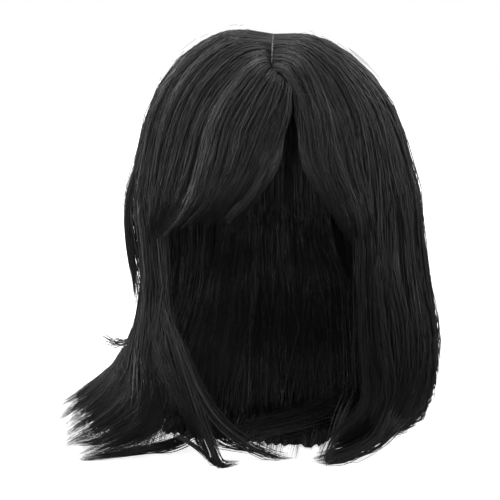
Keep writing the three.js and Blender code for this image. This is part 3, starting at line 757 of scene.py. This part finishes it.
def looseStrands():
    paths, radii, tones = [], [], []
    share = np.linspace(0, 1, looseHabit["rings"])
    taper = mix(1, looseHabit["tipThin"], smooth(looseHabit["taperFrom"], 1, share))
    for own in looseSet.values():
        bundle = {**looseHabit, **own}
        count = bundle["count"] // strandGain
        lines = [np.array(bundle[key], float) for key in ("points", "other") if key in bundle]
        points = mix(lines[0], lines[-1], rng.uniform(0, 1, (count, 1, 1)))
        last = points.shape[1] - 1
        begin = rng.uniform(0, bundle["late"], (count, 1)) * last
        end = last * (1 - bundle["early"] * rng.uniform(0, 1, (count, 1)) ** 2)
        along = mix(begin, end, share)
        path = np.stack([follow(points, row) for row in along.T], 1)
        spread = np.interp(along / last, np.linspace(0, 1, len(bundle["spread"])), bundle["spread"])
        offset = rng.normal(0, bundle["offset"], (count, 1, 3))
        crossing = rng.normal(0, bundle["crossing"], (count, 1, 3)) * (2 * share[:, None] - 1)
        path += (offset + crossing) * spread[..., None]
        path[..., 2] = np.maximum(path[..., 2], bundle["tableGap"])
        paths.append(path)
        radii.append(rng.uniform(*bundle["radius"], (count, 1)) * taper)
        tones.append(np.clip(rng.normal(*bundle["tone"], count), 0, 1))
    path = np.concatenate(paths)
    normal = np.broadcast_to(np.array(looseHabit["facing"]), path.shape)
    return strandMesh("loose_strands", path, normal, np.concatenate(radii), np.concatenate(tones))


addHair(looseStrands(), None)


# Short fine hairs that stand off the crown, and the stitches along the seam of the fringe

flyawaySet = {
    "count": 70, "on": {"hair_left": 0.36, "hair_right": 0.36, "fringe_left": 0.16, "fringe_right": 0.12},
    "place": (0.05, 0.95), "along": (0.6, 3.6), "turn": 0.7, "length": (8, 20), "off": (0.6, 2.5),
    "bow": 0.25, "bowCentre": 0.1, "bendRadius": 700, "radius": (0.08, 0.14), "taperFrom": 0.5,
    # the fine hairs all take the lightest tone, which carries painted sheen
    "tipThin": 0.4, "rings": 7, "tone": 1.0,
}
seamSet = {
    "from": (0.5, -62, 0), "to": (12.4, -75, 0), "stitches": 6, "length": 3.2, "slant": (0.8, 0.45),
    "radius": 0.34, "rise": 5.2, "droop": 6, "rings": 8, "tone": 0.0,
}


def flyaways():
    total, rings = flyawaySet["count"], flyawaySet["rings"]
    share = np.linspace(-0.5, 0.5, rings)[:, None]
    paths, normals = [], []
    names = rng.choice(list(flyawaySet["on"]), total, p=list(flyawaySet["on"].values()))
    for name in names:
        place = rng.uniform(*flyawaySet["place"], 1)
        along = rng.uniform(*flyawaySet["along"], 1)
        point, normal, sideways = (v[0] for v in hairFace(sections[name], place, along))
        way = unit(np.cross(sideways, normal))
        turn = rng.normal(0, flyawaySet["turn"])
        ahead = way * math.cos(turn) + sideways * math.sin(turn)
        aside = sideways * math.cos(turn) - way * math.sin(turn)
        length = rng.uniform(*flyawaySet["length"])
        bow = rng.normal(0, flyawaySet["bow"]) * (share ** 2 - flyawaySet["bowCentre"]) * length
        off = hairFall["swell"] + rng.uniform(*flyawaySet["off"])
        lift = off - (share * length) ** 2 / flyawaySet["bendRadius"]
        paths.append(point + ahead * share * length + aside * bow + normal * lift)
        normals.append(np.repeat(normal[None], rings, 0))
    taper = mix(1, flyawaySet["tipThin"], smooth(flyawaySet["taperFrom"], 1, np.linspace(0, 1, rings)))
    thin = rng.uniform(*flyawaySet["radius"], (total, 1)) * taper
    tone = np.full(total, flyawaySet["tone"])
    return strandMesh("flyaway_hairs", np.array(paths), np.array(normals), thin, tone)


def seamStitches():
    total, rings = seamSet["stitches"], seamSet["rings"]
    start, end = (np.array(seamSet[key], float) for key in ("from", "to"))
    middle = mix(start, end, ((np.arange(total) + 0.5) / total)[:, None])
    line = unit(end - start)
    across = np.array([-line[1], line[0], 0])
    way = across * seamSet["slant"][0] + line * seamSet["slant"][1]
    reach = np.linspace(-0.5, 0.5, rings)
    path = middle[:, None] + way * (reach * seamSet["length"])[:, None]
    path[..., 2] = capHeight(path[..., 0], path[..., 1]) + seamSet["rise"] - seamSet["droop"] * reach ** 2
    thin = np.full((total, rings), seamSet["radius"])
    return strandMesh("seam_stitches", path, domeNormal(path), thin, np.full(total, seamSet["tone"]))


addHair(flyaways(), None)
addHair(seamStitches(), None)


# Hair sewn to the lowest rows of the cap, which hangs over its rim along the inside of the back

liningSet = {
    "strands": 1400, "rings": 12, "across": (0.01, 0.99), "drift": 0.02, "from": (2.6, 4.8),
    "to": (10.2, 11.0), "depth": (1.0, 1.3), "wave": 3.0, "beats": (0.5, 1.6), "forward": (12, 50),
    "forwardFrom": 120, "forwardEase": 1.3, "aside": 12, "capRoom": 7, "capTop": 0.98, "freed": (95, 158),
    "tableGap": 0.5, "radius": (0.18, 0.32), "taperFrom": 0.85, "tipThin": 0.3, "tone": (0.45, 0.35),
}


def liningStrands():
    section = sections["hair_back"]
    total = liningSet["strands"] // strandCut
    one = (total, 1)
    share = np.linspace(0, 1, liningSet["rings"])
    begin, end = (rng.uniform(*liningSet[key], one) for key in ("from", "to"))
    along = mix(begin, end, share)
    across = rng.uniform(*liningSet["across"], one) + rng.normal(0, liningSet["drift"], one) * share
    face = hairFace(section, across.ravel(), along.ravel())
    point, normal, sideways = (v.reshape(*along.shape, 3) for v in face)
    inset = rng.uniform(*liningSet["depth"], one) * sheetThickness(section, along)
    turns = rng.uniform(0, 2 * math.pi, (total, 2))[:, :1]
    wave = liningSet["wave"] * np.sin(2 * math.pi * share * rng.uniform(*liningSet["beats"], one) + turns)
    path = point - normal * inset[..., None] + sideways * (wave * share)[..., None]
    # near the table they come forward
    low = np.clip(1 - path[..., 2] / liningSet["forwardFrom"], 0, 1) ** liningSet["forwardEase"]
    path[..., 1] -= low * rng.uniform(*liningSet["forward"], one)
    path[..., 0] += low * rng.normal(0, liningSet["aside"], one)
    # above its rim the cap is round them
    room = np.array([capSize["halfWidth"], capSize["halfLength"]]) - capSize["wall"] - liningSet["capRoom"]
    up = (path[..., 2] - capSize["equator"]) / (capSize["rise"] - liningSet["capRoom"])
    up = np.clip(up, 0, liningSet["capTop"])
    reach = np.linalg.norm(path[..., :2] / room, axis=-1) / np.sqrt(1 - up ** 2)
    held = mix(1, np.maximum(reach, 1), smooth(*liningSet["freed"], path[..., 2]))
    path[..., :2] /= held[..., None]
    path[..., 2] = np.maximum(path[..., 2], liningSet["tableGap"])
    taper = mix(1, liningSet["tipThin"], smooth(liningSet["taperFrom"], 1, share))
    radius = rng.uniform(*liningSet["radius"], one) * taper
    tone = np.clip(rng.normal(*liningSet["tone"], total), 0, 1)
    return strandMesh("inner_strands", path, normal, radius, tone)


addHair(liningStrands(), None)


# Cap net and parting strip

capLook = {
    "segments": 96, "rings": 120, "weftMm": 9, "weftRise": 0.9, "weftSharp": 4, "bandMm": 7, "bandEdgeMm": 2,
    "bandRise": 0.3, "meshMm": 1.6, "yarnMm": 0.3, "bump": 0.5, "roughness": 0.9,
    "shades": [(0.0, "#121213"), (0.12, "#0b0b0c"), (0.3, "#030303")],
}


def shadedCap():
    # Elastic wig net: matte black yarn in a fine knitted mesh, so dull, with dark pits between the yarns
    material, tree, surface = newMaterial("blackElasticNet", {"Roughness": capLook["roughness"]})
    place = addNode(tree, "ShaderNodeTexCoord").outputs["Object"]
    yarn = addNode(tree, "ShaderNodeTexVoronoi", {"feature": "DISTANCE_TO_EDGE"}, {"Vector": place},
                   {"Scale": 1 / (capLook["meshMm"] * mm)}).outputs["Distance"]
    colour = addNode(tree, "ShaderNodeValToRGB", links={"Fac": yarn}, stops=capLook["shades"])
    rise = addNode(tree, "ShaderNodeBump", {"invert": True}, {"Height": yarn},
                   {"Strength": capLook["bump"], "Distance": capLook["yarnMm"] * mm})
    tree.links.new(colour.outputs["Color"], surface.inputs["Base Color"])
    tree.links.new(rise.outputs["Normal"], surface.inputs["Normal"])
    return material


def buildCap():
    bpy.ops.object.select_all(action="DESELECT")
    bpy.ops.mesh.primitive_uv_sphere_add(segments=capLook["segments"], ring_count=capLook["rings"], radius=1)
    cap = bpy.context.active_object
    cap.name = "wig_cap"
    bpy.ops.object.mode_set(mode="EDIT")
    bpy.ops.mesh.select_all(action="SELECT")
    bpy.ops.mesh.bisect(plane_co=(0, 0, 0), plane_no=(0, 0, 1), clear_inner=True)
    bpy.ops.object.mode_set(mode="OBJECT")
    # the half ball is laid over the head, down to the rim of the cap
    ball = np.array([v.co for v in cap.data.vertices])
    turn = np.arctan2(ball[:, 0], -ball[:, 1])
    down = np.arccos(np.clip(ball[:, 2], -1, 1)) / (math.pi / 2)
    rim = np.array(capSize["rim"], float)
    rise = (tableValue(rim[:, 0], rim[:, 1], np.abs(np.degrees(turn))) - capSize["equator"]) / capSize["rise"]
    rimAngle = np.where(rise > 0, np.arccos(np.clip(rise, 0, 1)), math.pi / 2 - rise)
    angle = rimAngle * down
    below = np.maximum(angle - math.pi / 2, 0) * capSize["rise"]
    out = np.where(angle < math.pi / 2, np.sin(angle), 1 - (capSize["tuck"] * below) ** 2)
    up = capSize["rise"] * np.cos(np.minimum(angle, math.pi / 2))
    dome = np.stack([capSize["halfWidth"] * out * np.sin(turn), -capSize["halfLength"] * out * np.cos(turn),
                     capSize["equator"] + up - below], -1)
    # sewn rows and the elastic band stand up on the inside
    beat = 2 * math.pi * angle * capSize["rise"] / capLook["weftMm"]
    rows = np.maximum(np.cos(beat), 0) ** capLook["weftSharp"]
    fromRim = (rimAngle - angle) * capSize["rise"]
    band = smooth(capLook["bandMm"], capLook["bandMm"] - capLook["bandEdgeMm"], fromRim)
    raised = np.maximum(rows * capLook["weftRise"], band * capLook["bandRise"])
    for v, p in zip(cap.data.vertices, (dome * mm + headSpot).tolist()):
        v.co = p
    wall = cap.modifiers.new("wall", "SOLIDIFY")
    wall.thickness = capSize["wall"] * mm
    wall.offset = -1
    bpy.ops.object.modifier_apply(modifier="wall")
    inside = range(len(ball), 2 * len(ball))
    for k, shift in zip(inside, -domeNormal(dome) * raised[:, None] * mm):
        cap.data.vertices[k].co += Vector(shift)
    bpy.ops.object.shade_smooth()
    cap.data.materials.append(shadedCap())
    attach(cap, "root")
    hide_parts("cap")


stripLook = {
    "shown": 0.5, "cuts": 60, "ragged": 0.7, "raggedBeats": (2.9, 1.3), "edgeMm": 0.25, "edgeSegments": 2,
    "threadMm": 0.5, "wavesPerUnit": 3.2, "threadWander": 1.5, "knotMm": 1.1, "bump": 0.5, "bumpMm": 0.2,
    "roughness": 0.8, "shades": [(0.0, "#141211"), (0.22, "#4d4945"), (0.6, "#b3aca5")],
}


def shadedStrip():
    # Pale woven silk base under the parting: matte, with thread lines across it and small hair knots.
    # The threads are coarser than real ones, so that they show.
    material, tree, surface = newMaterial("wovenSilkBase", {"Roughness": stripLook["roughness"]})
    place = addNode(tree, "ShaderNodeTexCoord").outputs["Object"]
    thread = addNode(tree, "ShaderNodeTexWave", {"wave_type": "BANDS", "bands_direction": "Y"},
                     {"Vector": place},
                     {"Scale": 1 / (stripLook["threadMm"] * mm) / stripLook["wavesPerUnit"],
                      "Distortion": stripLook["threadWander"]}).outputs["Fac"]
    knots = addNode(tree, "ShaderNodeTexNoise", links={"Vector": place},
                    values={"Scale": 1 / (stripLook["knotMm"] * mm), "Detail": 1.0}).outputs["Fac"]
    worn = addNode(tree, "ShaderNodeMath", {"operation": "MULTIPLY"}, {0: thread, 1: knots}).outputs[0]
    colour = addNode(tree, "ShaderNodeValToRGB", links={"Fac": worn}, stops=stripLook["shades"])
    rise = addNode(tree, "ShaderNodeBump", links={"Height": worn},
                   values={"Strength": stripLook["bump"], "Distance": stripLook["bumpMm"] * mm})
    tree.links.new(colour.outputs["Color"], surface.inputs["Base Color"])
    tree.links.new(rise.outputs["Normal"], surface.inputs["Normal"])
    return material


def buildStrip():
    bpy.ops.object.select_all(action="DESELECT")
    bpy.ops.mesh.primitive_cube_add(size=1)
    base = bpy.context.active_object
    base.name = "woven_parting"
    base.scale = (2 * stripLook["shown"], strip["back"] - strip["front"], strip["thickness"])
    base.location = (0, (strip["back"] + strip["front"]) / 2, strip["thickness"] / 2)
    bpy.ops.object.transform_apply(location=True, rotation=True, scale=True)
    bpy.ops.object.mode_set(mode="EDIT")
    for cut in np.linspace(strip["front"], strip["back"], stripLook["cuts"] + 2)[1:-1]:
        bpy.ops.mesh.select_all(action="SELECT")
        bpy.ops.mesh.bisect(plane_co=(0, float(cut), 0), plane_no=(0, 1, 0))
    bpy.ops.object.mode_set(mode="OBJECT")
    # hair covers the edges unevenly, and the strip leans with the parting
    firstBeat, secondBeat = stripLook["raggedBeats"]
    for v in base.data.vertices:
        x, y, z = v.co
        x *= 1 + stripLook["ragged"] * math.sin(y * firstBeat) * math.sin(y * secondBeat + 1)
        x += hairFall["partLean"] * (y - hairFall["leanFrom"])
        v.co = Vector((x, y, float(capHeight(0, y)) + strip["lift"] + z)) * mm + Vector(headSpot)
    edge = base.modifiers.new("edge", "BEVEL")
    edge.width = stripLook["edgeMm"] * mm
    edge.segments = stripLook["edgeSegments"]
    bpy.ops.object.modifier_apply(modifier="edge")
    bpy.ops.object.shade_smooth()
    base.data.materials.append(shadedStrip())
    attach(base, "root")
    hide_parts("parting_strip")


buildCap()
buildStrip()
print("cap and parting ready")


# Stage, light and camera; places and sizes here are in metres

studio = {
    "floorSize": 6, "floorParts": 8, "floorRoughness": 0.9, "floorGloss": 0.1, "floorGlow": 0.8,
    "floorMirror": 0.14, "white": "#ffffff",
    "brightSide": (0, 0.62, 0.78), "from": -0.45, "to": 0.85, "dim": 0.04, "bright": 0.82,
}
# place, aim, size and watts
softboxes = {
    "overhead": ((-0.1, 0.3, 1.7), (0, 0, 0.2), (1.0, 0.7), 7.5),
    "high_left": ((-1.2, 0.1, 1.3), (0, 0, 0.2), (0.6, 0.8), 10.5),
    "high_right": ((1.2, 0.1, 1.3), (0, 0, 0.2), (0.6, 0.8), 10.5),
    "low_left": ((-1.4, -0.9, 0.25), (0, 0, 0.12), (0.4, 0.7), 12),
    "low_right": ((1.5, -0.6, 0.25), (0, 0, 0.12), (0.4, 0.7), 7),
    "front": ((0.1, -2.2, 0.5), (0, 0, 0.15), (0.8, 0.9), 9),
    "key_left": ((-0.7, -1.6, 1.45), (0, 0, 0.08), (0.5, 0.5), 8.5),
    "key_right": ((0.7, -1.6, 1.45), (0, 0, 0.08), (0.5, 0.5), 8.5),
}
cameraSet = {"targetMm": (-16.2, 0, 142.3), "distance": 1.4, "elevation": 10, "view": 14.65, "farthest": 50}


def buildFloor():
    bpy.ops.object.select_all(action="DESELECT")
    bpy.ops.mesh.primitive_grid_add(x_subdivisions=studio["floorParts"], y_subdivisions=studio["floorParts"],
                                    size=studio["floorSize"], location=(0, 0, 0))
    floor = bpy.context.active_object
    floor.name = "studio_floor"
    # White paper: matte, bright to the lens, and mirrored only faintly in the hair
    material, tree, surface = newMaterial("whitePaperSweep", {
        "Roughness": studio["floorRoughness"], "Specular IOR Level": studio["floorGloss"],
        "Emission Color": linear(studio["white"])})
    mirrored = addNode(tree, "ShaderNodeLightPath").outputs["Is Glossy Ray"]
    glow = addNode(tree, "ShaderNodeMapRange", links={"Value": mirrored},
                   values={"To Min": studio["floorGlow"], "To Max": studio["floorMirror"]})
    paper = addNode(tree, "ShaderNodeMapRange", links={"Value": mirrored},
                    values={"To Min": 1.0, "To Max": 0.0})
    tree.links.new(glow.outputs["Result"], surface.inputs["Emission Strength"])
    tree.links.new(paper.outputs["Result"], surface.inputs["Base Color"])
    floor.data.materials.append(material)


def buildRoom():
    # A room that the lens sees as plain white. It lights from above and behind more than from the front.
    world = bpy.data.worlds.new("whiteRoom")
    world.use_nodes = True
    tree = world.node_tree
    way = addNode(tree, "ShaderNodeTexCoord").outputs["Generated"]
    lean = addNode(tree, "ShaderNodeVectorMath", {"operation": "DOT_PRODUCT"}, {0: way},
                   {1: studio["brightSide"]})
    light = addNode(tree, "ShaderNodeMapRange", {"interpolation_type": "SMOOTHSTEP"},
                    {"Value": lean.outputs["Value"]},
                    {"From Min": studio["from"], "From Max": studio["to"],
                     "To Min": studio["dim"], "To Max": studio["bright"]})
    seen = addNode(tree, "ShaderNodeLightPath").outputs["Is Camera Ray"]
    strength = addNode(tree, "ShaderNodeMix", {"data_type": "FLOAT"}, {0: seen, 2: light.outputs["Result"]},
                       {3: 1.0})
    background = tree.nodes["Background"]
    background.inputs["Color"].default_value = linear(studio["white"])
    tree.links.new(strength.outputs[0], background.inputs["Strength"])
    bpy.context.scene.world = world


def addSoftbox(name, place, aim, size, power):
    lamp = bpy.data.lights.new(name, "AREA")
    lamp.shape = "RECTANGLE"
    lamp.size, lamp.size_y = size
    lamp.energy = power
    box = bpy.data.objects.new(name, lamp)
    box.location = place
    box.rotation_euler = (Vector(aim) - Vector(place)).to_track_quat("-Z", "Y").to_euler()
    bpy.context.collection.objects.link(box)


def addCamera():
    lens = bpy.data.cameras.new("photo_camera")
    lens.sensor_fit = "HORIZONTAL"
    lens.angle = math.radians(cameraSet["view"])
    lens.clip_end = cameraSet["farthest"]
    camera = bpy.data.objects.new("photo_camera", lens)
    target = Vector(np.array(cameraSet["targetMm"]) * mm + headSpot)
    tilt = math.radians(cameraSet["elevation"])
    camera.location = target + Vector((0, -math.cos(tilt), math.sin(tilt))) * cameraSet["distance"]
    camera.rotation_euler = (target - camera.location).to_track_quat("-Z", "Y").to_euler()
    bpy.context.collection.objects.link(camera)
    bpy.context.scene.camera = camera


buildFloor()
buildRoom()
for name, settings in softboxes.items():
    addSoftbox(name + "_softbox", *settings)
addCamera()
bpy.context.scene.view_settings.view_transform = "Standard"
print("studio ready")
